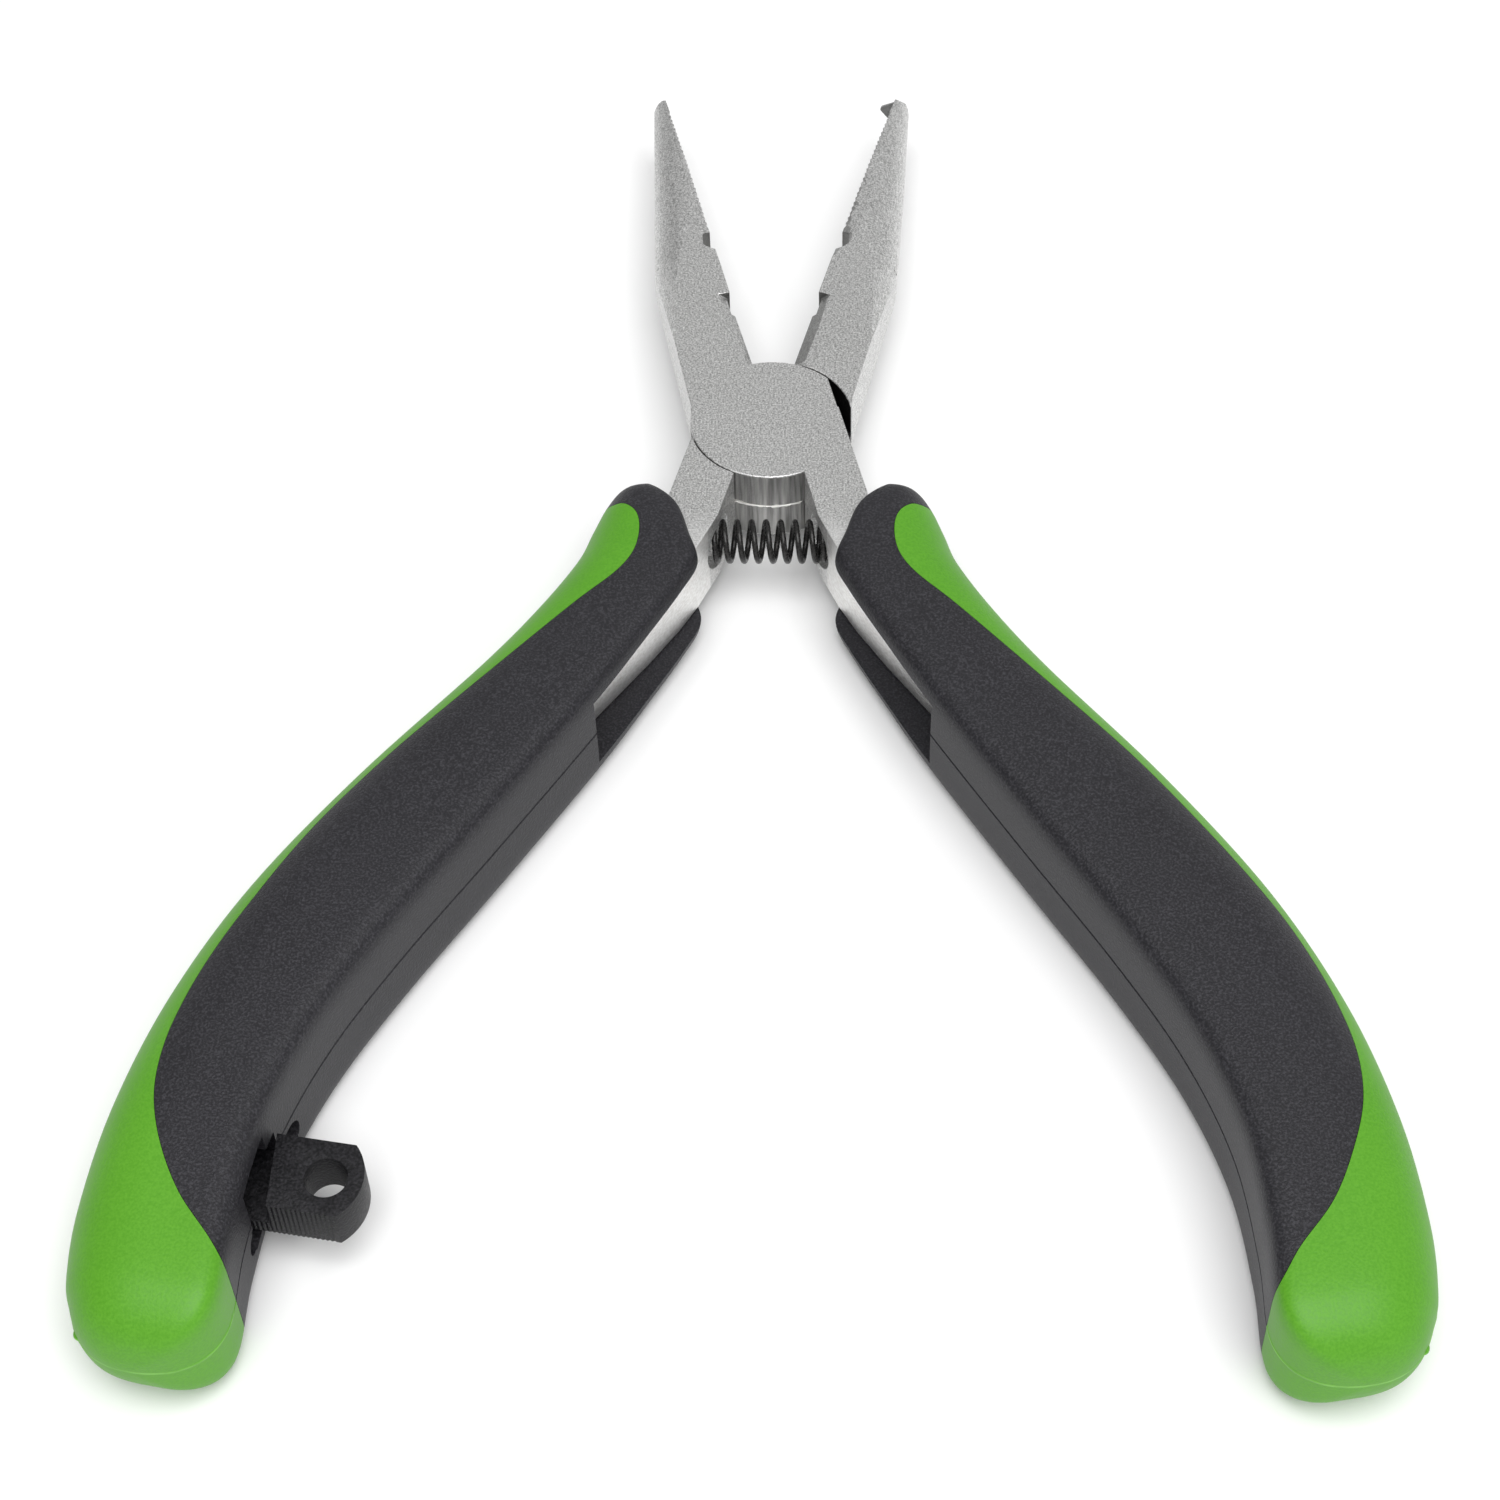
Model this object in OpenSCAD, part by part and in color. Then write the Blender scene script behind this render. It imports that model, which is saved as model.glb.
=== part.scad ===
// Split-ring fishing pliers, lying flat and sprung open.
// Both levers are drawn closed, about the pivot, and then turned open.
// A lever's jaw is on -X and its tang on +X; the rear lever is the same form turned over.

/* [Joint] */
// Radius of the round half-lap on each lever
lap_r = 6.9; // [6.5:0.1:7.2]
// Play between a half-lap and the shoulder that it turns in
lap_play = 0.1; // [0.05:0.05:0.2]
// Thickness of the steel
steel_t = 7.2; // [6.8:0.1:7.6]
// How far the levers stand open, between the jaw faces
open_angle = 28; // [20:1:30]
// Radius of the rivet's shank
rivet_r = 2.6; // [2:0.1:3]
// Radius of the rivet's countersunk end
rivet_head_r = 3.6; // [3.2:0.1:4.2]

/* [Jaws] */
// Distance from the pivot to the tip of the plain jaw
jaw_reach = 45; // [42:0.5:48]
// How far the toothed jaw's tip passes the plain one
tooth_overhang = 0.45; // [0.4:0.05:1]
// How far the split-ring tooth stands out of the jaw face
tooth_reach = 1.5; // [1.2:0.1:1.8]
// Width of a jaw beside the joint
jaw_w = 6.3; // [6:0.1:6.6]
// Distance from the pivot to where the tapered nose starts
nose_start = 23; // [21:0.5:25]
// Distance from one serration to the next
serration_pitch = 0.7; // [0.5:0.1:1]
// Depth of the serrations
serration_depth = 0.25; // [0.1:0.05:0.4]
// Radius of the round notch behind the serrations
notch_r = 1.15; // [0.8:0.05:1.4]
// Width of the cutter's bevel on the front face
bevel_w = 1.25; // [0.8:0.05:1.6]

/* [Spring] */
// Outside radius of the coil
coil_r = 1.9; // [1.7:0.05:2]
// Diameter of the wire
wire_d = 0.5; // [0.4:0.05:0.6]
// Number of turns
coil_turns = 8.5; // [7:0.5:9]
// Distance from the pivot to the spring's line, along the closed tangs
spring_y = 11.6; // [11:0.1:12.5]
// Depth of the round pocket for each end
pocket_depth = 1.5; // [1.3:0.1:1.8]

/* [Handles] */
// Clearance between a tang and its handle
tang_play = 0.1; // [0.05:0.05:0.2]
// Radius of the lanyard hole
hole_r = 1.6; // [1.2:0.1:2]
// Thickness of the lanyard lug
lug_t = 3.7; // [3:0.1:4]
// Width of the lanyard lug
lug_w = 6; // [5:0.5:6]

/* [Hidden] */
$fn = 64;

steel = [0.72, 0.72, 0.70];
black = [0.13, 0.13, 0.14];
charcoal = [0.24, 0.23, 0.25];
green = [0.37, 0.75, 0.20];

// The origin is under the middle of the open tool's box, on the surface that it lies on
pivot_y = 22.1;
grip_half_t = 6.0;
half_t = steel_t / 2;
half_open = open_angle / 2;
shoulder_r = lap_r + lap_play;
// Half of the gap between the closed jaw faces, and between the two laps
face_gap = 0.04;
lap_gap = 0.02;
// Long enough to cut right through anything
through = 30;

// ---- placing ----

module placed()
    translate([0, pivot_y, grip_half_t]) children();

// The front lever's side of the tool: jaw to the left, tang and handle to the right
module front_side()
    placed() rotate([0, 0, half_open]) children();

// The rear lever's side is the mirror image
module rear_side()
    placed() mirror([1, 0, 0]) rotate([0, 0, half_open]) children();

// ---- levers ----

// Points on an arc about [x, y], for the rounded corners of outlines
function arc(x, y, r, from, to, steps = 6) =
    [for (i = [0 : steps]) let (a = from + (to - from) * i / steps) [x + r * cos(a), y + r * sin(a)]];

// Jaw seen from the front: straight beside the joint, then tapering to the tip
side_end = 22;
side_w = 5.75;
tip_w = 1.25;
tip_round = 0.55;
tip_corner = 0.3;

module jaw_outline(reach, end_w)
    polygon(concat(
        [[-face_gap, 0], [-face_gap, reach - tip_corner], [-face_gap - tip_corner, reach]],
        arc(-end_w + tip_round, reach - tip_round, tip_round, 90, 175, 5),
        [[-side_w, side_end], [-jaw_w, 4], [-jaw_w, -2.6]]));

// The nose is a slim leaning cone and the shoulder behind it a blunter one
nose_r = 3.73;
tip_r = 2.4;
nose_axis = -1.97;
nose_lean = 8.2;
nose_run = 24;
shoulder_slope = 0.145;
shoulder_run = 13;

module jaw_rounding() {
    translate([nose_axis, nose_start, 0]) {
        rotate([0, 0, -nose_lean]) rotate([-90, 0, 0]) translate([0, 0, -1])
            cylinder(h = nose_run + 1, r1 = nose_r + 0.04, r2 = tip_r);
        translate([0, -shoulder_run, 0]) rotate([-90, 0, 0])
            cylinder(h = shoulder_run, r1 = nose_r + shoulder_run * shoulder_slope, r2 = nose_r);
    }
    translate([-10, -10, -half_t])
        cube([14, 10 + nose_start - shoulder_run, steel_t]);
}

// The toothed jaw ends blunter than the plain one, and keeps more steel on its outer side
blunt_w = 1.5;
blunt_r = 1.35;
blunt_lean = 3.1;

module blunt_rounding()
    translate([nose_axis, nose_start, 0]) rotate([0, 0, -blunt_lean]) rotate([-90, 0, 0])
        cylinder(h = nose_run, r1 = nose_r, r2 = blunt_r);

// The blunt tip slopes off towards the front and the back
tip_front = 1.15;
tip_slope_run = 1.35;

module tip_slopes(reach)
    for (side = [-1, 1])
        rotate([90, 0, 90]) translate([0, 0, -3]) linear_extrude(6)
            polygon([[reach + 0.1 - tip_slope_run, side * 3], [reach + 0.1, side * tip_front],
                [reach + 1, side * tip_front], [reach + 1, side * 3]]);

module jaw_blank(reach, toothed)
    intersection() {
        translate([0, 0, -half_t]) linear_extrude(steel_t)
            jaw_outline(reach, toothed ? blunt_w : tip_w);
        union() {
            jaw_rounding();
            if (toothed) blunt_rounding();
        }
    }

// V-grooves across the jaw face, from behind the tip down to the round notch
serration_from = nose_start + 2.2;
serration_to = 42.5;

module serrations()
    translate([0, 0, -through / 2]) linear_extrude(through)
        for (y = [serration_from : serration_pitch : serration_to])
            polygon([
                [1, y], [-face_gap, y],
                [-serration_depth, y + serration_pitch / 2],
                [-face_gap, y + serration_pitch * 0.9], [1, y + serration_pitch * 0.9]]);

// Cutter: a shallow bevel on the front face, a deep one behind, and a relief at their end
cutter_from = lap_r;
cutter_to = 16.1;
relief_from = 14;
relief_depth = 0.35;
bevel_depth = 0.9;
back_bevel_w = 2;
edge_land = 0.8;

module cutter(front) {
    edge_z = half_t - bevel_depth;
    translate([0, cutter_from, 0]) rotate([-90, 0, 0]) linear_extrude(cutter_to - cutter_from)
        polygon([for (p = [[-bevel_w, half_t + 0.01], [1, half_t + 0.01], [1, edge_z], [0, edge_z]])
            [p[0], -front * p[1]]]);
    translate([0, cutter_from, 0]) rotate([-90, 0, 0]) linear_extrude(cutter_to - cutter_from)
        polygon([for (p = [[-back_bevel_w, -half_t - 0.01], [1, -half_t - 0.01],
                           [1, edge_z - edge_land], [0, edge_z - edge_land]])
            [p[0], -front * p[1]]]);
    translate([-relief_depth, relief_from, -through / 2])
        cube([2, cutter_to - relief_from, through]);
}

// Tang: straight beside the joint, then leaning out inside the handle
tang_in = 1.35;
tang_out = 6;
tang_end = 56;

module tang_outline()
    polygon([
        [tang_in, 0], [tang_out, 0], [tang_out, -12], [7.6, -19], [18.6, -tang_end + 1],
        [15.2, -tang_end], [6.8, -29.6], [4.4, -23.5], [2.9, -19.2], [2.1, -16.2], [1.7, -14],
        [tang_in, -12]]);

module tang()
    translate([0, 0, -half_t]) linear_extrude(steel_t) tang_outline();

module spring_pocket()
    translate([tang_in - 1, -spring_y, 0]) rotate([0, 90, 0])
        cylinder(h = pocket_depth + 1, r = coil_r + 0.45);

// Round half-lap, cut off in line with the tang's outer side
lap_side = 5.9;

module lap()
    intersection() {
        translate([0, 0, lap_gap]) cylinder(h = half_t - lap_gap, r = lap_r, $fn = 96);
        translate([-10, -10, 0]) cube([10 + lap_side, 20, half_t]);
    }

// The outer side of the jaw and the joint falls away towards the back
fall_in = 1.3;
fall_height = 2.2;
fall_turn = 1.75;
fall_from = -6;
fall_length = 36;

module outer_fall(front)
    rotate([0, 0, -fall_turn]) translate([-jaw_w, fall_from, 0]) rotate([-90, 0, 0])
        linear_extrude(fall_length)
            polygon([for (p = [[-1.5, half_t - fall_height], [0, half_t - fall_height],
                               [fall_in, half_t + 0.01], [-1.5, half_t + 0.01]])
                [p[0], front * p[1]]]);

// front is 1 where the lap and the cutter's shallow bevel face the same way, and -1 where not
module lever(reach, front)
    difference() {
        union() {
            jaw_blank(reach, front < 0);
            tang();
            lap();
        }
        // Room for the other lever's half-lap
        translate([0, 0, -half_t - 1])
            cylinder(h = half_t + 1 + lap_gap, r = shoulder_r, $fn = 96);
        serrations();
        translate([0, nose_start + 0.4, -through / 2]) cylinder(h = through, r = notch_r);
        cutter(front);
        outer_fall(front);
        spring_pocket();
    }

// The rivet is set blind in the front lever, and turns in the rear one
rivet_depth = 2.8;
rivet_play = 0.04;
head_h = 1;

module front_lever()
    color(steel) front_side()
        difference() {
            lever(jaw_reach, 1);
            translate([0, 0, -1]) cylinder(h = rivet_depth + 1, r = rivet_r);
        }

// The split-ring tooth passes over the tip of the plain jaw: a beak, towards the front at its point
tooth_gap = 0.12;
tooth_edge = 0.3;
tooth_root_r = 1.4;
tooth_root_z = 0.1;
tooth_end_r = 0.3;
tooth_end_z = 0.4;
tooth_root = -0.5;

module split_ring_tooth() {
    foot = jaw_reach + tooth_gap;
    tip = jaw_reach + tooth_overhang;
    intersection() {
        translate([0, 0, -half_t]) linear_extrude(steel_t)
            polygon([[tooth_root, foot - 0.8], [-face_gap, foot - 0.25], [0.16, foot],
                [tooth_reach, foot], [tooth_reach, foot + tooth_edge], [tooth_root, tip]]);
        rotate([-90, 0, 0]) linear_extrude(tip + 1)
            hull() {
                translate([tooth_root, tooth_root_z]) circle(r = tooth_root_r);
                translate([tooth_reach - tooth_end_r, tooth_end_z]) circle(r = tooth_end_r);
            }
    }
}

module rear_lever()
    color(steel) rear_side() mirror([0, 0, 1])
        difference() {
            union() {
                lever(jaw_reach + tooth_overhang, -1);
                split_ring_tooth();
            }
            tip_slopes(jaw_reach + tooth_overhang);
            translate([0, 0, -1]) cylinder(h = half_t + 2, r = rivet_r + rivet_play);
            translate([0, 0, half_t - head_h])
                cylinder(h = head_h + 0.01, r1 = rivet_r + rivet_play, r2 = rivet_head_r + rivet_play);
        }

module pivot_rivet()
    color(steel) placed() {
        translate([0, 0, -half_t + head_h]) cylinder(h = half_t - head_h + rivet_depth, r = rivet_r);
        translate([0, 0, -half_t]) cylinder(h = head_h, r1 = rivet_head_r, r2 = rivet_r);
    }

// ---- return spring ----

// Half of the spring's length, between the tilted floors of its pockets
spring_half = (tang_in + pocket_depth) * cos(half_open) + spring_y * sin(half_open)
    - coil_r * sin(half_open) - 0.1;
spring_line = tang_in * sin(half_open) - spring_y * cos(half_open);
turn_steps = 20;
wire_sides = 8;

module return_spring() {
    steps = coil_turns * turn_steps;
    mean_r = coil_r - wire_d / 2;
    run = 2 * spring_half - wire_d;
    rings = [for (i = [0 : steps]) let (a = 360 * i / turn_steps)
        for (k = [0 : wire_sides - 1]) let (b = 360 * k / wire_sides, r = mean_r + wire_d / 2 * cos(b))
            [run * (i / steps - 0.5) + wire_d / 2 * sin(b), r * cos(a), r * sin(a)]];
    sides = [for (i = [0 : steps - 1], k = [0 : wire_sides - 1])
        let (p = i * wire_sides + k, q = i * wire_sides + (k + 1) % wire_sides)
            [p, q, q + wire_sides, p + wire_sides]];
    first = [for (k = [wire_sides - 1 : -1 : 0]) k];
    last = [for (k = [0 : wire_sides - 1]) steps * wire_sides + k];
    color(black) placed() translate([0, spring_line, 0])
        polyhedron(points = rings, faces = concat([first], sides, [last]), convexity = 10);
}

// ---- handles ----

// Each rib crosses a handle from its inner edge to its outer edge:
// [inner x, inner y, outer x, outer y, half thickness], on the closed tool
ribs = [
    [6.9, -10.5, 8.8, -10.0, 4.0],
    [4.5, -12.3, 10.6, -10.8, 4.9],
    [2.8, -15.0, 11.3, -12.6, 5.2],
    [1.4, -17.6, 11.6, -15.2, 5.3],
    [1.9, -21.0, 11.9, -18.9, 5.4],
    [3.3, -26.6, 13.5, -24.7, 5.5],
    [5.3, -34.0, 16.2, -31.9, 5.7],
    [9.4, -47.0, 21.9, -44.6, 5.9],
    [13.2, -58.6, 26.3, -56.9, 6.0],
    [15.7, -68.2, 28.5, -68.0, 6.0],
    [16.6, -77.0, 28.9, -78.0, 6.0],
    [15.8, -85.0, 28.0, -86.4, 5.9],
    [14.7, -90.2, 26.7, -91.4, 5.75],
    [14.7, -92.5, 25.7, -93.3, 5.3],
    [15.5, -94.2, 24.6, -94.8, 4.4],
    [16.9, -95.4, 23.2, -95.8, 3.1],
    [18.9, -96.1, 21.3, -96.3, 1.2]];
rib_steps = 3;

// A smooth curve through the ribs, t counting from one rib to the next
function rib_at(t) =
    let (last = len(ribs) - 1, i = min(floor(t), last - 1), u = t - i,
        a = ribs[max(i - 1, 0)], b = ribs[i], c = ribs[i + 1], d = ribs[min(i + 2, last)])
    b + (c - a) * u / 2 + (2 * a - 5 * b + 4 * c - d) * u * u / 2
        + (3 * b - 3 * c + d - a) * u * u * u / 2;

// Cross-section: nearly flat on the inner face, full and round on the outer one
inner_square = 7;
outer_round = 2.4;
crown_at = 0.42;
section_steps = 7;

function power(v, n) = sign(v) * pow(abs(v), n);
function quarter(w, h, n, from, to) =
    [for (i = [0 : section_steps - 1]) let (a = from + (to - from) * i / section_steps)
        [w * crown_at + (cos(a) < 0 ? w * crown_at : w * (1 - crown_at)) * power(cos(a), 2 / n),
            h * power(sin(a), 2 / n)]];
function section(w, h) = concat(
    quarter(w, h, outer_round, 0, 90), quarter(w, h, inner_square, 90, 180),
    quarter(w, h, inner_square, 180, 270), quarter(w, h, outer_round, 270, 360));

module rib(t) {
    r = rib_at(t);
    across = [r[2] - r[0], r[3] - r[1]];
    translate([r[0], r[1], 0]) rotate([0, 0, atan2(across[1], across[0])])
        rotate([90, 0, 0]) linear_extrude(0.02) polygon(section(norm(across), r[4]));
}

module handle_form()
    for (i = [0 : (len(ribs) - 1) * rib_steps - 1])
        hull() {
            rib(i / rib_steps);
            rib((i + 1) / rib_steps);
        }

// Where the green shows: a teardrop beside the neck, a strip outside and the whole butt
inlay_edge = [
    [16, -11.6], [12.4, -12.2], [10.4, -13.2], [8.9, -13.5], [7.5, -14.6], [6.7, -16.5], [6.5, -19],
    [7.3, -21.6], [9.4, -25.2], [12.2, -30.4], [15.4, -36.4], [19.1, -43.6], [22.3, -51.4],
    [24.7, -59.6], [25.9, -65], [26.2, -69.5], [26, -73.5], [25.2, -77.5], [23.2, -81.3], [20, -84.9],
    [16.4, -87.8], [13.6, -90.2], [10, -92.5]];

module inlay_region()
    translate([0, 0, -through / 2]) linear_extrude(through)
        polygon(concat(inlay_edge, [[10, -100], [40, -100], [40, -11.6]]));

module tang_cavity()
    translate([0, 0, -half_t - tang_play]) linear_extrude(steel_t + 2 * tang_play)
        offset(delta = tang_play) tang_outline();

// The inner face is open from the neck to here, and shows the tang
slot_end = 34.2;

module slot()
    translate([0, 0, -half_t - tang_play]) linear_extrude(steel_t + 2 * tang_play)
        polygon([[-3, -5], [tang_in + 0.3, -5], [tang_in + 0.3, -12], [2.9, -18], [8, -slot_end + 1.6],
            [5, -slot_end], [-3, -slot_end - 2]]);

module grip_shell()
    difference() {
        handle_form();
        tang_cavity();
        slot();
        inlay_region();
    }

module grip_inlay()
    difference() {
        intersection() {
            handle_form();
            inlay_region();
        }
        tang_cavity();
    }

// ---- lanyard lug ----

// Centre of the hole on the closed tool, and the lug's small tilt along the handle
hole_x = 11.6;
hole_y = -79.2;
lug_tilt = -5;
lug_nose_r = 4.2;
lug_root = 9.6;
mouth_t = 6.6;

module at_lug()
    translate([hole_x, hole_y, 0]) rotate([0, 0, lug_tilt]) children();

module lug_outline()
    intersection() {
        translate([-5, -lug_w / 2]) square([5 + lug_root, lug_w]);
        union() {
            translate([1.45, 0]) circle(r = lug_nose_r);
            translate([1.45, -lug_w]) square([lug_root, 2 * lug_w]);
        }
    }

// Recess around the lug, and the tight pocket that holds its root
module lug_slot()
    at_lug() {
        translate([2, -lug_w / 2 - 0.6, -mouth_t / 2 + 0.6]) cube([5.6, lug_w + 1, mouth_t]);
        for (y = [-5, 5]) translate([2, y, -2]) rotate([0, 90, 0]) cylinder(h = 5, r = 1.3);
        translate([2, -5, -3.3]) cube([5, 10, 2.6]);
        translate([2, -lug_w / 2 - 0.05, -lug_t / 2 - 0.05])
            cube([lug_root - 1.9, lug_w + 0.1, lug_t + 0.1]);
    }

module lanyard_lug()
    color(black) rear_side() at_lug()
        difference() {
            translate([0, 0, -lug_t / 2]) linear_extrude(lug_t) lug_outline();
            translate([0, 0, -lug_t]) cylinder(h = 2 * lug_t, r = hole_r);
        }

// The left handle is on the rear lever and the right one on the front lever
module left_grip_shell()
    color(charcoal) rear_side() difference() {
        grip_shell();
        lug_slot();
    }

module left_grip_inlay()
    color(green) rear_side() grip_inlay();

module right_grip_shell()
    color(charcoal) front_side() grip_shell();

module right_grip_inlay()
    color(green) front_side() grip_inlay();

front_lever();
rear_lever();
pivot_rivet();
return_spring();
left_grip_shell();
left_grip_inlay();
right_grip_shell();
right_grip_inlay();
lanyard_lug();
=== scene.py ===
"""Looks of the split-ring fishing pliers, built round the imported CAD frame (metres, row frame)."""
import math

import bmesh
import bpy
import numpy as np
from mathutils import Matrix, Vector
from mathutils.bvhtree import BVHTree
from mathutils.geometry import intersect_point_line


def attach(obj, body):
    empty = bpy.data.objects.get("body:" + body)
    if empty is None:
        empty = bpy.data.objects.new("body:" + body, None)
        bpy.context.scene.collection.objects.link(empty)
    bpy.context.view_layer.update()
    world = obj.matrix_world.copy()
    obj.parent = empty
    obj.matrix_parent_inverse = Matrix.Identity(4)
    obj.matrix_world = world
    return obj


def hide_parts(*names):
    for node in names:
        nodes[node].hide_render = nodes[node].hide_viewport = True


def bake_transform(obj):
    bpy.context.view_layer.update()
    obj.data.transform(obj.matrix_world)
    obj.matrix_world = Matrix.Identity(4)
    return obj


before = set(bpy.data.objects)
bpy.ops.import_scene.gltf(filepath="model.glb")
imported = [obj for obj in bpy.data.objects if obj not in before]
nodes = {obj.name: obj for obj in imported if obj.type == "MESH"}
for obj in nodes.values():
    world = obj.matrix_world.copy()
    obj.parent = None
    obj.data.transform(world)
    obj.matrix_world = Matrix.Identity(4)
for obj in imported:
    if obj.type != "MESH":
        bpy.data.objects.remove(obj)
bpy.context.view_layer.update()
coll = bpy.context.scene.collection

MM = 0.001
PIVOT = Vector((0, 22.1, 6.0))
HALF_OPEN = math.radians(14)
# A closed lever in millimetres about the pivot, to its place on the open tool in metres
RIGHT = Matrix.Scale(MM, 4) @ Matrix.Translation(PIVOT) @ Matrix.Rotation(HALF_OPEN, 4, "Z")
LEFT = (Matrix.Scale(MM, 4) @ Matrix.Translation(PIVOT) @ Matrix.Scale(-1, 4, (1, 0, 0))
        @ Matrix.Rotation(HALF_OPEN, 4, "Z"))


# ---------------------------------------------------------------- camera, light, floor

# Where the photo was taken from: height above the tool's plane, turn to its right, tilt of the frame
CAM_HEIGHT, CAM_TURN, CAM_ROLL = math.radians(51.651), math.radians(3.195), math.radians(-2.282)
CAM_DISTANCE = 247.8
CAM_TARGET = Vector((-1.03, -33.36, 0))


def make_camera():
    e, yaw, roll = CAM_HEIGHT, CAM_TURN, CAM_ROLL
    back = Vector((math.sin(yaw) * math.cos(e), -math.cos(yaw) * math.cos(e), math.sin(e)))
    right = (-back).cross(Vector((0, 0, 1))).normalized()
    up = right.cross(-back)
    rolled_right = right * math.cos(roll) + up * math.sin(roll)
    rolled_up = up * math.cos(roll) - right * math.sin(roll)
    target = (PIVOT + CAM_TARGET) * MM
    cam = bpy.data.objects.new("camera", bpy.data.cameras.new("camera"))
    coll.objects.link(cam)
    m = Matrix((rolled_right, rolled_up, back)).transposed().to_4x4()
    m.translation = target + back * CAM_DISTANCE * MM
    cam.matrix_world = m
    cam.data.sensor_width = 36
    cam.data.lens = 74.4
    cam.data.clip_start = 0.01
    cam.data.clip_end = 20
    bpy.context.scene.camera = cam


def soft_box(name, at, size, power):
    """A square area light that faces the origin."""
    lamp = bpy.data.lights.new(name, "AREA")
    lamp.shape = "RECTANGLE"
    lamp.size = lamp.size_y = size
    lamp.energy = power
    o = bpy.data.objects.new(name, lamp)
    coll.objects.link(o)
    o.location = at
    o.rotation_mode = "QUATERNION"
    o.rotation_quaternion = (-Vector(at)).to_track_quat("-Z", "Y")


def make_light():
    """A pale studio that is dimmer on the left, with one soft box above."""
    world = bpy.data.worlds.new("studio")
    bpy.context.scene.world = world
    world.use_nodes = True
    tree = world.node_tree
    bg = tree.nodes["Background"]
    bg.inputs["Strength"].default_value = 1.0
    where = tree.nodes.new("ShaderNodeTexCoord")
    split = tree.nodes.new("ShaderNodeSeparateXYZ")
    across = tree.nodes.new("ShaderNodeMapRange")
    across.inputs["From Min"].default_value = -1
    shade = tree.nodes.new("ShaderNodeValToRGB")
    left, middle, right = 0.27, 0.59, 0.58
    shade.color_ramp.elements[0].color = (left, left, left, 1)
    shade.color_ramp.elements[1].color = (right, right, right, 1)
    shade.color_ramp.elements.new(0.5).color = (middle, middle, middle, 1)
    tree.links.new(where.outputs["Generated"], split.inputs[0])
    tree.links.new(split.outputs["X"], across.inputs["Value"])
    tree.links.new(across.outputs["Result"], shade.inputs["Fac"])
    tree.links.new(shade.outputs["Color"], bg.inputs["Color"])
    soft_box("above", (0.06, -0.30, 0.80), 0.7, 7.0)
    bpy.context.scene.view_settings.view_transform = "Standard"


# ---------------------------------------------------------------- materials

class Nodes:
    """A material's node tree with short helpers."""

    def __init__(self, name):
        self.mat = bpy.data.materials.new(name)
        self.mat.use_nodes = True
        self.tree = self.mat.node_tree
        self.shader = self.tree.nodes["Principled BSDF"]
        self.where = self.tree.nodes.new("ShaderNodeTexCoord").outputs["Object"]

    def node(self, kind, **values):
        n = self.tree.nodes.new(kind)
        for k, v in values.items():
            if hasattr(n, k):
                setattr(n, k, v)
            else:
                n.inputs[k].default_value = v
        return n

    def link(self, a, b):
        self.tree.links.new(a, b)

    def set(self, **values):
        for k, v in values.items():
            self.shader.inputs[k.replace("_", " ")].default_value = v

    def stretched(self, scale=(1, 1, 1), turn=(0, 0, 0)):
        n = self.node("ShaderNodeMapping")
        n.inputs["Scale"].default_value = scale
        n.inputs["Rotation"].default_value = turn
        self.link(self.where, n.inputs["Vector"])
        return n.outputs["Vector"]

    def noise(self, size_mm, detail=2.0, vector=None, rough=0.5):
        n = self.node("ShaderNodeTexNoise")
        n.inputs["Scale"].default_value = 1 / (size_mm * MM)
        n.inputs["Detail"].default_value = detail
        n.inputs["Roughness"].default_value = rough
        self.link(vector or self.where, n.inputs["Vector"])
        return n.outputs["Fac"]

    def ramp(self, fac, stops):
        n = self.node("ShaderNodeValToRGB")
        n.color_ramp.elements[0].position, n.color_ramp.elements[0].color = stops[0][0], (*stops[0][1], 1)
        n.color_ramp.elements[1].position, n.color_ramp.elements[1].color = stops[-1][0], (*stops[-1][1], 1)
        for p, c in stops[1:-1]:
            n.color_ramp.elements.new(p).color = (*c, 1)
        self.link(fac, n.inputs["Fac"])
        return n.outputs["Color"]

    def range(self, fac, lo, hi, flo=0.3, fhi=0.7):
        n = self.node("ShaderNodeMapRange")
        n.inputs["From Min"].default_value = flo
        n.inputs["From Max"].default_value = fhi
        n.inputs["To Min"].default_value = lo
        n.inputs["To Max"].default_value = hi
        self.link(fac, n.inputs["Value"])
        return n.outputs["Result"]

    def math(self, op, a, b):
        n = self.node("ShaderNodeMath", operation=op)
        for i, v in enumerate((a, b)):
            if isinstance(v, (int, float)):
                n.inputs[i].default_value = v
            else:
                self.link(v, n.inputs[i])
        return n.outputs[0]

    def mix(self, fac, a, b):
        n = self.node("ShaderNodeMix", data_type="RGBA")
        for i, v in ((0, fac), (6, a), (7, b)):
            if isinstance(v, (int, float)):
                n.inputs[i].default_value = v
            elif isinstance(v, tuple):
                n.inputs[i].default_value = (*v, 1)
            else:
                self.link(v, n.inputs[i])
        return n.outputs[2]

    def bump(self, *layers):
        """Each layer is (height, depth in mm)."""
        normal = None
        for height, depth in layers:
            n = self.node("ShaderNodeBump")
            n.inputs["Strength"].default_value = 1
            n.inputs["Distance"].default_value = depth * MM
            self.link(height, n.inputs["Height"])
            if normal is not None:
                self.link(normal, n.inputs["Normal"])
            normal = n.outputs["Normal"]
        self.link(normal, self.shader.inputs["Normal"])


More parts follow.
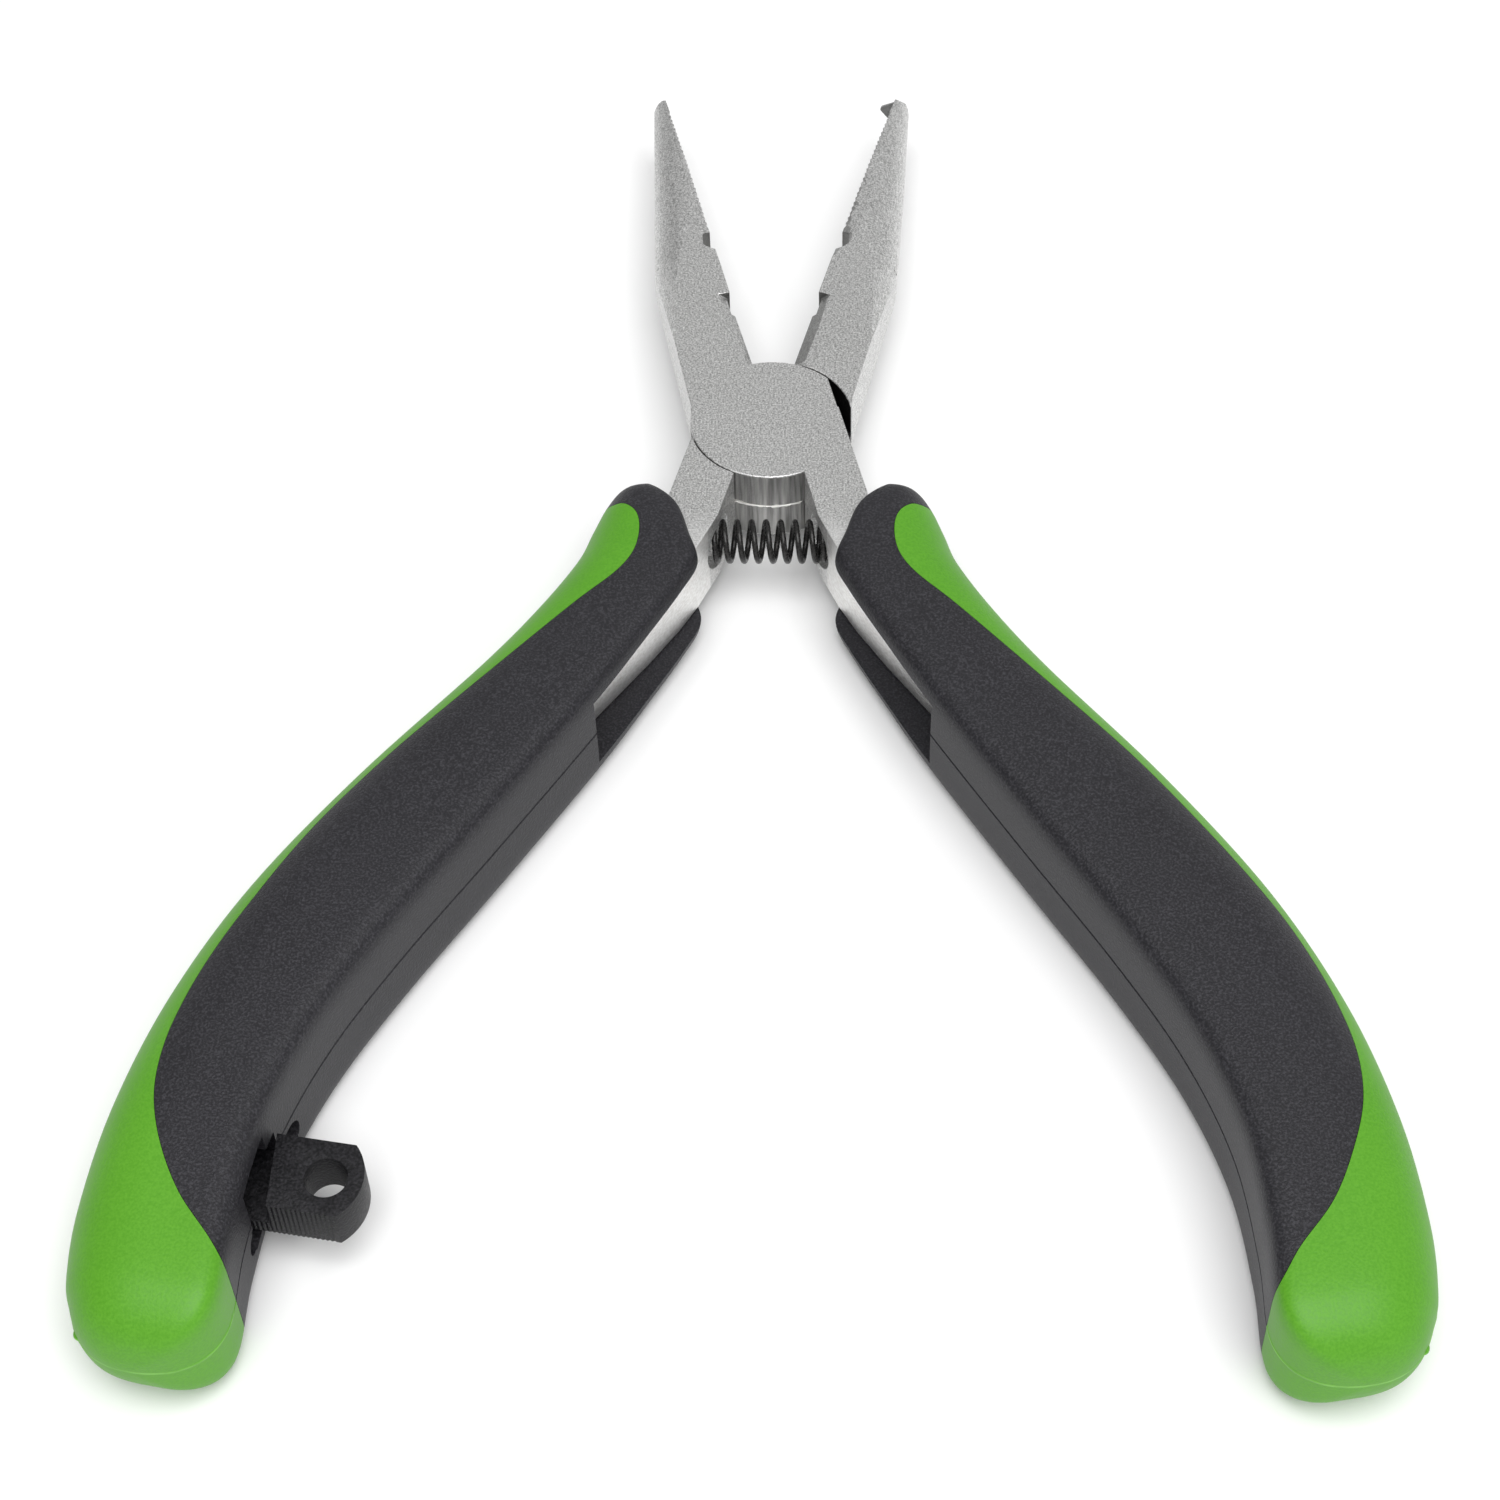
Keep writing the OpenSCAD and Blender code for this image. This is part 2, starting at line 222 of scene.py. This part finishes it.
def steel_material():
    """Bead-blasted steel with darker machined lap faces, painted shade on the jaws' undersides and inner
    sides and in the lap recess, and bright where the tangs are cut.
    """
    m = Nodes("blasted_steel")
    m.set(Metallic=0.92)
    fine = m.noise(0.15, 2, rough=0.7)
    strokes = m.noise(0.20, 2, m.stretched((1.0, 0.34, 1.0), (0, 0, 0.5)))
    cloud = m.noise(6.0, 2)
    tone = m.mix(0.34, m.ramp(fine, [(0.35, (0.14, 0.14, 0.137)), (0.65, (0.99, 0.99, 0.98))]),
                 m.ramp(strokes, [(0.32, (0.36, 0.36, 0.355)), (0.68, (0.92, 0.92, 0.91))]))
    tone = m.mix(0.12, tone, m.ramp(cloud, [(0.3, (0.56, 0.56, 0.55)), (0.7, (0.72, 0.72, 0.72))]))
    at, facing = m.node("ShaderNodeSeparateXYZ"), m.node("ShaderNodeSeparateXYZ")
    m.link(m.where, at.inputs[0])
    m.link(m.node("ShaderNodeTexCoord").outputs["Normal"], facing.inputs[0])
    x = at.outputs["X"]
    y = m.math("SUBTRACT", at.outputs["Y"], PIVOT.y * MM)
    z = m.math("ABSOLUTE", m.math("SUBTRACT", at.outputs["Z"], PIVOT.z * MM), 0)
    upright = m.math("LESS_THAN", m.math("ABSOLUTE", facing.outputs["Z"], 0), 0.8)
    r = m.math("SQRT", m.math("ADD", m.math("MULTIPLY", x, x), m.math("MULTIPLY", y, y)), 0)
    # Painted shade on the inner side of the right jaw, and on the undersides on the inner sides of both
    jaw = m.math("GREATER_THAN", y, 7.2 * MM)
    painted_shade = (0.20, 0.20, 0.195)
    inward = m.math("LESS_THAN", facing.outputs["X"], -0.25)
    inward = m.math("MULTIPLY", m.math("GREATER_THAN", x, 0.0), inward)
    tone = m.mix(m.math("MULTIPLY", jaw, inward), tone, m.mix(0.55, tone, painted_shade))
    under = m.math("MULTIPLY", upright, m.math("LESS_THAN", facing.outputs["Y"], -0.55))
    under = m.math("MULTIPLY", under, m.math("LESS_THAN", m.math("MULTIPLY", x, facing.outputs["X"]), 0.0))
    tone = m.mix(m.math("MULTIPLY", jaw, under), tone, painted_shade)
    # The tangs are rubbed bright beside the handles, and their sides are cut bright
    rubbed = m.math("MULTIPLY", m.range(y, 0.0, 0.55, -10.5 * MM, -13.5 * MM), m.range(cloud, 0.5, 1.0))
    tone = m.mix(rubbed, tone, (0.98, 0.98, 0.97))
    tang = m.math("MULTIPLY", upright, m.math("LESS_THAN", y, -13 * MM))
    tone = m.mix(tang, tone, m.ramp(strokes, [(0.3, (0.80, 0.79, 0.77)), (0.7, (0.99, 0.99, 0.98))]))
    # The faces inside the lap joint, with a worn line between the two laps
    within = m.math("LESS_THAN", r, 7.12 * MM)
    ring = m.math("MULTIPLY", m.math("GREATER_THAN", r, 6.55 * MM), within)
    wall = m.math("MULTIPLY", ring, m.math("LESS_THAN", z, 3.45 * MM))
    floor = m.math("MULTIPLY", within, m.math("LESS_THAN", z, 0.12 * MM))
    low = m.math("LESS_THAN", y, -2.0 * MM)
    streaks = m.noise(0.34, 3, m.stretched((1, 1, 0.06)))
    dark = m.ramp(streaks, [(0.3, (0.18, 0.18, 0.175)), (0.7, (0.52, 0.515, 0.505))])
    worn = m.math("ADD", z, m.math("MULTIPLY", m.noise(0.7, 2), 0.45 * MM))
    dark = m.mix(m.math("LESS_THAN", worn, 0.36 * MM), dark, (0.92, 0.91, 0.88))
    # Above y = -2 mm the lap faces are painted near black: partly oil, partly painted shade of the deep
    # narrow recess
    dark = m.mix(low, (0.030, 0.029, 0.030), dark)
    tone = m.mix(m.math("MAXIMUM", wall, floor), tone, dark)
    m.link(tone, m.shader.inputs["Base Color"])
    m.link(m.range(fine, 0.32, 0.48), m.shader.inputs["Roughness"])
    m.bump((fine, 0.040), (strokes, 0.030))
    return m.mat


def charcoal_material():
    m = Nodes("charcoal_plastic")
    grain = m.noise(0.19, 2, rough=0.6)
    fine = m.noise(0.12, 2)
    cloud = m.noise(9.0, 2)
    tone = m.ramp(cloud, [(0.3, (0.0115, 0.0110, 0.0140)), (0.7, (0.0155, 0.0150, 0.0190))])
    tone = m.mix(0.6, tone, m.ramp(grain, [(0.45, (0.008, 0.0075, 0.0100)), (0.72, (0.062, 0.061, 0.070))]))
    m.link(tone, m.shader.inputs["Base Color"])
    m.link(m.range(grain, 0.44, 0.58), m.shader.inputs["Roughness"])
    m.set(Specular_IOR_Level=0.38)
    m.bump((grain, 0.06), (fine, 0.008))
    return m.mat


def green_material():
    """Soft overmould, with a paler line where the mould parts."""
    m = Nodes("green_rubber")
    grain = m.noise(0.20, 2)
    cloud = m.noise(12.0, 2)
    tone = m.ramp(cloud, [(0.3, (0.080, 0.300, 0.008)), (0.7, (0.095, 0.335, 0.012))])
    tone = m.mix(0.35, tone, m.ramp(grain, [(0.35, (0.060, 0.255, 0.005)), (0.65, (0.120, 0.380, 0.020))]))
    at = m.node("ShaderNodeSeparateXYZ")
    m.link(m.where, at.inputs[0])
    z = m.math("ABSOLUTE", m.math("SUBTRACT", at.outputs["Z"], PIVOT.z * MM), 0)
    line = m.math("MULTIPLY", m.range(z, 0.75, 0.0, 0.05 * MM, 0.16 * MM), m.range(m.noise(1.6, 2), 0.3, 1.0))
    tone = m.mix(line, tone, (0.24, 0.58, 0.10))
    m.link(tone, m.shader.inputs["Base Color"])
    m.link(m.range(grain, 0.44, 0.54), m.shader.inputs["Roughness"])
    m.set(Specular_IOR_Level=0.40)
    m.bump((grain, 0.020))
    return m.mat


def black_material():
    m = Nodes("black_plastic")
    grain = m.noise(0.22, 2, rough=0.6)
    fine = m.noise(0.12, 2)
    tone = m.ramp(grain, [(0.4, (0.006, 0.006, 0.007)), (0.75, (0.028, 0.027, 0.031))])
    m.link(tone, m.shader.inputs["Base Color"])
    m.link(m.range(grain, 0.38, 0.55), m.shader.inputs["Roughness"])
    m.set(Specular_IOR_Level=0.22)
    m.bump((grain, 0.07), (fine, 0.010))
    return m.mat


def spring_material():
    m = Nodes("spring_steel")
    fine = m.noise(0.2, 2)
    tone = m.ramp(fine, [(0.3, (0.010, 0.010, 0.010)), (0.7, (0.030, 0.029, 0.028))])
    m.link(tone, m.shader.inputs["Base Color"])
    m.link(m.range(fine, 0.20, 0.34), m.shader.inputs["Roughness"])
    m.set(Metallic=0.4)
    m.bump((fine, 0.006))
    return m.mat


def floor_material():
    m = Nodes("pale_floor")
    cloud = m.noise(60, 2)
    tone = m.ramp(cloud, [(0.3, (0.92, 0.92, 0.92)), (0.7, (0.94, 0.94, 0.94))])
    m.link(tone, m.shader.inputs["Base Color"])
    m.set(Roughness=0.7)
    return m.mat


# ---------------------------------------------------------------- mesh helpers

def new_object(name, verts, faces):
    me = bpy.data.meshes.new(name)
    me.from_pydata([tuple(v) for v in verts], [], [tuple(f) for f in faces])
    o = bpy.data.objects.new(name, me)
    coll.objects.link(o)
    bm = bmesh.new()
    bm.from_mesh(me)
    bmesh.ops.recalc_face_normals(bm, faces=bm.faces)
    bm.to_mesh(me)
    bm.free()
    return o


def prism(name, outline, z0, z1):
    n = len(outline)
    verts = [(x, y, z0) for x, y in outline] + [(x, y, z1) for x, y in outline]
    faces = [tuple(range(n))[::-1], tuple(range(n, 2 * n))]
    faces += [(i, (i + 1) % n, (i + 1) % n + n, i + n) for i in range(n)]
    return new_object(name, verts, faces)


def box(name, lo, hi):
    return prism(name, [(lo[0], lo[1]), (hi[0], lo[1]), (hi[0], hi[1]), (lo[0], hi[1])], lo[2], hi[2])


def baked(o):
    """Applies an object's modifiers."""
    deps = bpy.context.evaluated_depsgraph_get()
    me = bpy.data.meshes.new_from_object(o.evaluated_get(deps))
    o.modifiers.clear()
    o.data = me
    return o


def cut(o, tool, how="DIFFERENCE"):
    mod = o.modifiers.new("cut", "BOOLEAN")
    mod.operation = how
    mod.solver = "EXACT"
    mod.object = tool
    return baked(o)


def remove(*objects):
    for o in objects:
        bpy.data.objects.remove(o)


def duplicate(o, name):
    c = o.copy()
    c.data = o.data.copy()
    c.name = c.data.name = name
    coll.objects.link(c)
    return c


def place(o, matrix):
    o.data.transform(matrix)
    if matrix.determinant() < 0:
        o.data.flip_normals()


def smooth(o, angle=32):
    me = o.data
    me.shade_smooth()
    me.set_sharp_from_angle(angle=math.radians(angle))


def finish_piece(o, material, body, node, angle=32):
    o.data.materials.clear()
    o.data.materials.append(material)
    if angle:
        smooth(o, angle)
    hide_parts(node)
    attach(o, body)


def catmull(points, steps):
    """A smooth open curve through rows of numbers."""
    p = np.array(points, float)
    out = []
    for i in range(len(p) - 1):
        a, b, c, d = p[max(i - 1, 0)], p[i], p[i + 1], p[min(i + 2, len(p) - 1)]
        for k in range(steps):
            u = k / steps
            out.append(b + (c - a) * u / 2 + (2 * a - 5 * b + 4 * c - d) * u * u / 2
                       + (3 * b - 3 * c + d - a) * u ** 3 / 2)
    out.append(p[-1])
    return np.array(out)


# ---------------------------------------------------------------- handles, on the closed tool in mm

RIBS = [  # inner x, inner y, outer x, outer y, half thickness
    [7.55, -10.12, 8.25, -9.92, 2.4],
    [7.15, -10.25, 8.65, -9.92, 3.5],
    [6.7, -10.6, 8.9, -10.1, 4.15],
    [4.5, -12.3, 10.6, -10.8, 4.9],
    [2.8, -15.0, 11.3, -12.6, 5.2],
    [1.4, -17.6, 11.6, -15.2, 5.3],
    [1.9, -21.0, 11.9, -18.9, 5.4],
    [3.3, -26.6, 13.5, -24.7, 5.5],
    [5.3, -34.0, 16.2, -31.9, 5.7],
    [9.4, -47.0, 21.9, -44.6, 5.9],
    [13.2, -58.6, 26.3, -56.9, 6.0],
    [15.7, -68.2, 28.5, -68.0, 6.0],
    [16.6, -77.0, 28.9, -78.0, 6.0],
    [15.8, -85.0, 28.0, -86.4, 5.9],
    [14.7, -90.2, 26.7, -91.4, 5.75],
    [14.7, -92.5, 25.7, -93.3, 5.3],
    [15.5, -94.2, 24.6, -94.8, 4.4],
    [16.9, -95.4, 23.2, -95.8, 3.1],
    [18.4, -96.0, 21.8, -96.25, 1.6],
    [19.6, -96.25, 20.7, -96.32, 0.5]]
# A section's thickest place, as a part of its width, and how square it is on each side of that
CROWN = 0.42
INNER_N = 7.0
OUTER_N = 2.4
# The seam is a groove along the charcoal, and a ridge along the green, which is inside too below here
GREEN_Y = -90.5
GROOVE = 0.10
RIDGE = 0.05
INLAY_NECK = [
    [16, -11.6], [12.4, -12.2], [10.4, -13.2], [8.9, -13.5], [7.5, -14.6], [6.7, -16.5], [6.5, -19],
    [7.3, -21.6], [9.4, -25.2], [12.2, -30.4], [15.4, -36.4], [19.1, -43.6], [22.3, -51.4]]
# The green reaches a little further over the front on the left handle than on the right
INLAY_EDGE = {
    "left": INLAY_NECK + [
        [24.4, -59.6], [25.5, -65], [25.9, -69.5], [25.75, -73.5], [24.8, -77.5], [22.8, -81.3],
        [19.9, -84.9], [16.4, -87.8], [14, -90], [11.5, -92.7]],
    "right": INLAY_NECK + [
        [25.2, -59.6], [26.4, -65], [26.8, -69.5], [26.6, -73.5], [25.5, -77.5], [23.4, -81.3],
        [20.7, -84.9], [17.3, -87.8], [14.8, -90.2], [10.5, -93]]}
# The tang's outline, as in the CAD, for the hole that each handle has for it
TANG = [[1.35, 0], [6, 0], [6, -12], [7.6, -19], [18.6, -55], [15.2, -56], [6.8, -29.6], [4.4, -23.5],
        [2.9, -19.2], [2.1, -16.2], [1.7, -14], [1.35, -12]]
STEEL_HALF = 3.6
TANG_PLAY = 0.1
INLAY_GAP = 0.035


def section():
    """Points round a handle, as (u across, v through, seam) with seam 1 inside and -1 outside."""
    inner, outer = [], []
    lin = [0.0, 0.010, 0.024] + list(np.linspace(0.07, 0.8, 13))
    for v in lin:
        inner.append((v, 1.0 if v < 0.015 else 0.0))
    a0 = math.asin(0.8 ** (INNER_N / 2))
    for a in np.linspace(a0, math.pi / 2, 15)[1:]:
        inner.append((math.sin(a) ** (2 / INNER_N), 0.0))
    inner = [(CROWN * (1 - max(1 - v ** INNER_N, 0) ** (1 / INNER_N)), v, s) for v, s in inner]
    for v, s in ((0.0, -1.0), (0.012, 0.0)):
        outer.append((CROWN + (1 - CROWN) * (1 - v ** OUTER_N) ** (1 / OUTER_N), v, s))
    for a in np.linspace(0, math.pi / 2, 26)[1:-1]:
        outer.append((CROWN + (1 - CROWN) * math.cos(a) ** (2 / OUTER_N), math.sin(a) ** (2 / OUTER_N), 0.0))
    top = outer + inner[::-1]
    bottom = [(u, -v, s) for u, v, s in top[::-1][1:-1]]
    return top + bottom


def handle_form(name):
    rows = catmull(RIBS, 10)
    ring = section()
    verts = []
    for r in rows:
        p, q = np.array(r[0:2]), np.array(r[2:4])
        w = np.linalg.norm(q - p)
        e = (q - p) / w
        y = (p[1] + q[1]) / 2
        fade = min(max((w - 3) / 5, 0), 1)
        for u, v, seam in ring:
            d = u * w
            if seam > 0:
                d += (GROOVE if y > GREEN_Y else -RIDGE) * fade
            if seam < 0:
                d += RIDGE * fade
            c = p + e * d
            verts.append((c[0], c[1], v * max(r[4], 0.1)))
    n, m = len(ring), len(rows)
    faces = [tuple(range(n))[::-1], tuple(range((m - 1) * n, m * n))]
    for i in range(m - 1):
        for k in range(n):
            k2 = (k + 1) % n
            faces.append((i * n + k, i * n + k2, (i + 1) * n + k2, (i + 1) * n + k))
    return new_object(name, verts, faces)


def grow(outline, by):
    """Offsets a closed outline outwards by a small distance."""
    p = np.array(outline, float)
    area = 0.5 * np.sum(p[:, 0] * np.roll(p[:, 1], -1) - np.roll(p[:, 0], -1) * p[:, 1])
    d = np.roll(p, -1, 0) - p
    d /= np.linalg.norm(d, axis=1)[:, None]
    n = np.c_[d[:, 1], -d[:, 0]] * (1 if area > 0 else -1)
    m = n + np.roll(n, 1, 0)
    m /= np.sum(m * np.roll(n, 1, 0), 1)[:, None]
    return (p + m * by).tolist()


def inlay_prism(name, side, gap):
    curve = catmull(INLAY_EDGE[side], 8)
    region = np.vstack([curve, [[8, -100], [40, -100], [40, -11.6]]])
    return prism(name, grow(region, -gap), -20, 20)


def nub(name):
    """The moulding nub on a butt's outer side, at the parting line."""
    bm = bmesh.new()
    bmesh.ops.create_icosphere(bm, subdivisions=3, radius=0.5)
    bmesh.ops.scale(bm, vec=(1.0, 1.2, 0.8), verts=bm.verts)
    bmesh.ops.translate(bm, vec=(24.55, -94.35, 0), verts=bm.verts)
    me = bpy.data.meshes.new(name)
    bm.to_mesh(me)
    bm.free()
    o = bpy.data.objects.new(name, me)
    coll.objects.link(o)
    return o


def lug_place():
    return Matrix.Translation((11.6, -79.2, 0)) @ Matrix.Rotation(math.radians(-5), 4, "Z")


def cylinder(name, r, z0, z1, steps=64):
    turns = [2 * math.pi * i / steps for i in range(steps)]
    return prism(name, [(r * math.cos(a), r * math.sin(a)) for a in turns], z0, z1)


def lug_cutters():
    """The recess that the lug's tenon sits in, with round ends."""
    tools = [box("t", (2, -3.6, -2.7), (7.6, 3.05, 1.9)), box("t", (2, -3.6, 1.8), (7.6, 1.5, 3.7)),
             box("t", (2, -3.9, -3.3), (7, 5, -0.7))]
    for y, r in ((-3.9, 1.0), (5, 1.3)):
        c = cylinder("t", r, 2, 7)
        c.data.transform(Matrix.Translation((0, y, -2)) @ Matrix.Rotation(math.pi / 2, 4, "Y"))
        tools.append(c)
    for t in tools:
        t.data.transform(lug_place())
    return tools


def build_handles(mats):
    form = handle_form("form")
    room = STEEL_HALF + TANG_PLAY
    hole = prism("hole", grow(TANG, TANG_PLAY), -room, room)
    channel = [[-3, -5], [1.65, -5], [1.65, -12], [2.9, -18], [8, -32.6], [5, -34.2], [-3, -36.2]]
    slot = prism("slot", channel, -room, room)
    bump = nub("nub")
    for side, matrix, body in (("left", LEFT, "rear_half"), ("right", RIGHT, "front_half")):
        shell = duplicate(form, side + "_shell")
        tools = [inlay_prism("edge", side, 0.0), hole, slot]
        own = tools[:1]
        if side == "left":
            own += lug_cutters()
            tools += own[1:]
        for t in tools:
            cut(shell, t)
        remove(*own)
        place(shell, matrix)
        finish_piece(shell, mats["charcoal"], body, side + "_grip_shell")
        inlay = duplicate(form, side + "_inlay")
        edge = inlay_prism("edge", side, INLAY_GAP)
        cut(inlay, edge, "INTERSECT")
        cut(inlay, hole)
        cut(inlay, bump, "UNION")
        remove(edge)
        place(inlay, matrix)
        finish_piece(inlay, mats["green"], body, side + "_grip_inlay")
    remove(form, hole, slot, bump)


# ---------------------------------------------------------------- lanyard lug

LUG_HALF_W = 3.0
LUG_HALF_T = 1.85
LUG_NOSE_R = 4.2
LUG_HOLE_R = 1.6
RIB_PITCH = 0.36
RIB_HEIGHT = 0.035


def build_lug(mats):
    """The eye, its nose an arc and its lower side finely ribbed across."""
    nose = []
    limit = math.asin(LUG_HALF_W / LUG_NOSE_R)
    for a in np.linspace(math.pi - limit, math.pi + limit, 25):
        nose.append((1.45 + LUG_NOSE_R * math.cos(a), LUG_NOSE_R * math.sin(a)))
    lower = []
    for x in np.arange(nose[-1][0] + 0.35, 9.5, 0.05):
        lower.append((x, -LUG_HALF_W + RIB_HEIGHT * (1 + math.sin(2 * math.pi * x / RIB_PITCH))))
    outline = nose + lower + [(9.6, -2.9), (9.6, LUG_HALF_W)]
    lug = prism("lug", outline, -LUG_HALF_T, LUG_HALF_T)
    hole = cylinder("t", LUG_HOLE_R, -4, 4, 72)
    # The tenon is lower than the eye, inside the recess
    step = prism("t", [(3.5, -4), (9.8, -4), (9.8, 4), (4.6, 4)], -0.6, 3)
    for t in (hole, step):
        cut(lug, t)
    remove(hole, step)
    bevel = lug.modifiers.new("bevel", "BEVEL")
    bevel.width = 0.16
    bevel.segments = 3
    bevel.limit_method = "ANGLE"
    bevel.angle_limit = math.radians(38)
    baked(lug)
    lug.data.transform(lug_place())
    place(lug, LEFT)
    lug.name = "lanyard_eye"
    finish_piece(lug, mats["black"], "rear_half", "lanyard_lug", 45)


# ---------------------------------------------------------------- steel

BROKEN = 0.12  # width of a broken edge, in mm
SMOOTH_TURN = 25  # the surface is smooth where it turns less than this, in degrees
EDGE_TURN = 50  # its edges are broken where it turns more than this
ROOM = 0.42  # part of its shortest neighbour that a broken edge may take
LEAST_ROOM = 0.2  # part of BROKEN below which an edge is left sharp
SPREAD = 1.6  # how much wider than its narrowest neighbour an edge may be
MERGE = 0.06  # points closer than this are one, in mm
FOLD_REACH = 0.3  # how near an edge is to a fold that it made, in mm
FOLD_ROUNDS = 6
FOLD_AREA = 4e-9  # square metres


def folded(me, tree):
    """Centres of the triangles that face into the CAD surface they lie on."""
    me.calc_loop_triangles()
    spots = []
    for t in me.loop_triangles:
        middle = sum((me.vertices[i].co for i in t.vertices), Vector()) / 3
        if t.area > FOLD_AREA and t.normal.dot(tree.find_nearest(middle)[1]) < 0:
            spots.append(middle)
    return spots


def near(e, spots, reach):
    """Whether an edge passes within reach of any of the spots."""
    a, b = (v.co for v in e.verts)
    for p in spots:
        spot, t = intersect_point_line(p, a, b)
        if ((a if t < 0 else b if t > 1 else spot) - p).length < reach:
            return True
    return False


def soften(node, name, body, mats):
    """A CAD lever with its sharp edges broken, each as wide as its short neighbours leave room for."""
    bm = bmesh.new()
    bm.from_mesh(nodes[node].data)
    bmesh.ops.transform(bm, matrix=nodes[node].matrix_world, verts=bm.verts)
    tree = BVHTree.FromBMesh(bm)
    bmesh.ops.remove_doubles(bm, verts=bm.verts, dist=MERGE * MM)
    bmesh.ops.dissolve_degenerate(bm, dist=MERGE * MM, edges=bm.edges)
    bmesh.ops.dissolve_limit(bm, angle_limit=math.radians(0.5), verts=bm.verts, edges=bm.edges)
    weight = bm.edges.layers.float.new("bevel_weight_edge")
    corners = []
    for f in bm.faces:
        f.smooth = True
    for e in bm.edges:
        turn = math.degrees(e.calc_face_angle(0))
        room = ROOM * min(n.calc_length() for v in e.verts for n in v.link_edges) / (BROKEN * MM)
        e.smooth = turn < SMOOTH_TURN
        if turn > EDGE_TURN and room > LEAST_ROOM:
            e.smooth = True
            e[weight] = min(1.0, room)
            corners.append(e)
    least = {v: min(n[weight] for n in v.link_edges if n[weight] > 0) for e in corners for v in e.verts}
    for e in corners:
        e[weight] = min(e[weight], SPREAD * min(least[v] for v in e.verts))
    o = bpy.data.objects.new(name, bpy.data.meshes.new(name))
    coll.objects.link(o)
    # An edge whose bevel folds over itself is left sharp
    for _ in range(FOLD_ROUNDS):
        me = bpy.data.meshes.new(name)
        bm.to_mesh(me)
        o.data = me
        bevel = o.modifiers.new("bevel", "BEVEL")
        bevel.width = BROKEN * MM
        bevel.segments = 2
        bevel.use_clamp_overlap = False
        bevel.limit_method = "WEIGHT"
        baked(o)
        spots = folded(o.data, tree)
        sharp = [e for e in corners if e[weight] > 0 and near(e, spots, FOLD_REACH * MM)]
        if not sharp:
            break
        for e in sharp:
            e[weight] = 0
            e.smooth = False
    bm.free()
    for v in o.data.vertices:
        spot, _, _, away = tree.find_nearest(v.co)
        if away > 0.5 * BROKEN * MM:
            v.co = spot
    finish_piece(o, mats["steel"], body, node, 0)
    w = o.modifiers.new("normals", "WEIGHTED_NORMAL")
    w.keep_sharp = True
    return baked(o)


def build_rivet(mats):
    """A blind rivet: a shank, and a countersunk head with a slightly dished end."""
    profile = [(0, 2.8), (2.45, 2.8), (2.6, 2.65), (2.6, -2.6), (3.5, -3.5), (3.52, -3.56), (3.46, -3.6),
               (1.3, -3.6), (1.1, -3.52), (0.5, -3.4), (0, -3.38)]
    steps = 96
    verts, faces, n = [], [], len(profile)
    for i in range(steps):
        a = 2 * math.pi * i / steps
        verts += [(r * math.cos(a), r * math.sin(a), z) for r, z in profile]
    for i in range(steps):
        j = (i + 1) % steps
        faces += [(i * n + k, j * n + k, j * n + k + 1, i * n + k + 1) for k in range(n - 1)]
    o = new_object("rivet", verts, faces)
    bm = bmesh.new()
    bm.from_mesh(o.data)
    bmesh.ops.remove_doubles(bm, verts=bm.verts, dist=1e-5)
    bmesh.ops.recalc_face_normals(bm, faces=bm.faces)
    bm.to_mesh(o.data)
    bm.free()
    o.data.transform(Matrix.Scale(MM, 4) @ Matrix.Translation(PIVOT))
    finish_piece(o, mats["steel"], "front_half", "pivot_rivet", 35)


def build_spring(mats):
    turns, per_turn, sides = 8.5, 48, 14
    mean_r, wire_r = 1.65, 0.25
    half = 5.0 - wire_r
    line_y = 1.35 * math.sin(HALF_OPEN) - 11.6 * math.cos(HALF_OPEN)
    steps = int(turns * per_turn)
    # The last turn at each end closes up, and the rest is evenly pitched
    s = np.linspace(0, turns, steps + 1)
    pitch = np.where((s < 0.9) | (s > turns - 0.9), 0.62, 1.0)
    x = np.concatenate([[0], np.cumsum((pitch[1:] + pitch[:-1]) / 2)])
    x = x / x[-1] * 2 * half - half
    a = 2 * math.pi * s + math.radians(20)
    centre = np.c_[x, mean_r * np.cos(a), mean_r * np.sin(a)]
    verts, faces = [], []
    for i, c in enumerate(centre):
        t = centre[min(i + 1, steps)] - centre[max(i - 1, 0)]
        t /= np.linalg.norm(t)
        out = np.array([0, c[1], c[2]]) / mean_r
        side = np.cross(t, out)
        side /= np.linalg.norm(side)
        out = np.cross(side, t)
        end = min(i, steps - i)
        r = wire_r * (0.75 if end == 0 else 0.93 if end == 1 else 1.0)
        for k in range(sides):
            b = 2 * math.pi * k / sides
            verts.append(c + r * (math.cos(b) * out + math.sin(b) * side))
    for i in range(steps):
        for k in range(sides):
            k2 = (k + 1) % sides
            faces.append((i * sides + k, i * sides + k2, (i + 1) * sides + k2, (i + 1) * sides + k))
    faces += [tuple(range(sides))[::-1], tuple(range(steps * sides, (steps + 1) * sides))]
    o = new_object("spring_coil", verts, faces)
    o.data.transform(Matrix.Scale(MM, 4) @ Matrix.Translation(PIVOT + Vector((0, line_y, 0))))
    o.data.materials.append(mats["spring"])
    smooth(o, 50)
    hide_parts("return_spring")
    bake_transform(o)


def make_floor():
    o = new_object("floor", [(-3, -3, -0.00002), (3, -3, -0.00002), (3, 3, -0.00002), (-3, 3, -0.00002)],
                   [(0, 1, 2, 3)])
    o.data.materials.append(floor_material())


make_camera()
make_light()
make_floor()
mats = {"steel": steel_material(), "charcoal": charcoal_material(), "green": green_material(),
        "black": black_material(), "spring": spring_material()}
soften("front_lever", "front_steel", "front_half", mats)
soften("rear_lever", "rear_steel", "rear_half", mats)
build_rivet(mats)
build_spring(mats)
build_handles(mats)
build_lug(mats)
